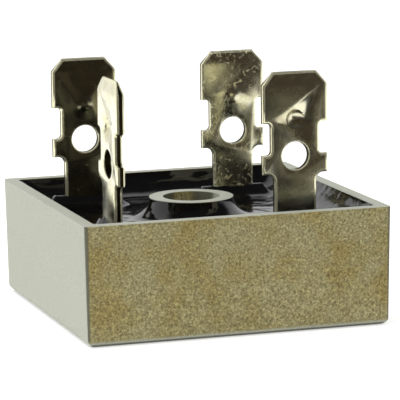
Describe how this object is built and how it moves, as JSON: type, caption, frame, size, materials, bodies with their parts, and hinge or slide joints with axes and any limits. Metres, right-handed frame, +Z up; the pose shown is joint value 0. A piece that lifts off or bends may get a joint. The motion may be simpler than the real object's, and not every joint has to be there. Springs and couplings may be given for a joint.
{
  "type": "bridge rectifier",
  "caption": "Square metal-case bridge rectifier with a screw hole through the middle, black potting and push-on tabs, one turned.",
  "frame": {"origin": "middle of the base's underside, on the axis of the screw hole", "axes": "+Z up along the screw hole to the tabs, -Y to the front with one flat and one turned tab, +X to the right seen from the front"},
  "size_m": [0.0288, 0.0288, 0.0231],
  "materials": {
    "case": "cast, with a fine sandy grain",
    "potting": "glossy black epoxy",
    "tab": "plated, bright, with rounded sheared edges",
    "copper": "bare stamped copper",
    "silicon": "polished silicon",
    "solder": "reflowed solder",
    "insulating_pad": "matt"
  },
  "bodies": {
    "root": {"case": "case", "potting": "potting", "insulating_pad": "insulating_pad", "plate_plus": "copper", "plate_minus": "copper", "plate_ac_left": "copper", "plate_ac_right": "copper", "die_left": "silicon", "die_front": "silicon", "die_back": "silicon", "die_right": "silicon", "die_left_solder_lower": "solder", "die_front_solder_lower": "solder", "die_back_solder_lower": "solder", "die_right_solder_lower": "solder", "die_left_solder_upper": "solder", "die_front_solder_upper": "solder", "die_back_solder_upper": "solder", "die_right_solder_upper": "solder", "tab_plus": "tab", "tab_minus": "tab", "tab_ac_left": "tab", "tab_ac_right": "tab", "tab_solder_plus": "solder", "tab_solder_minus": "solder", "tab_solder_ac_left": "solder", "tab_solder_ac_right": "solder"}
  },
  "joints": []
}
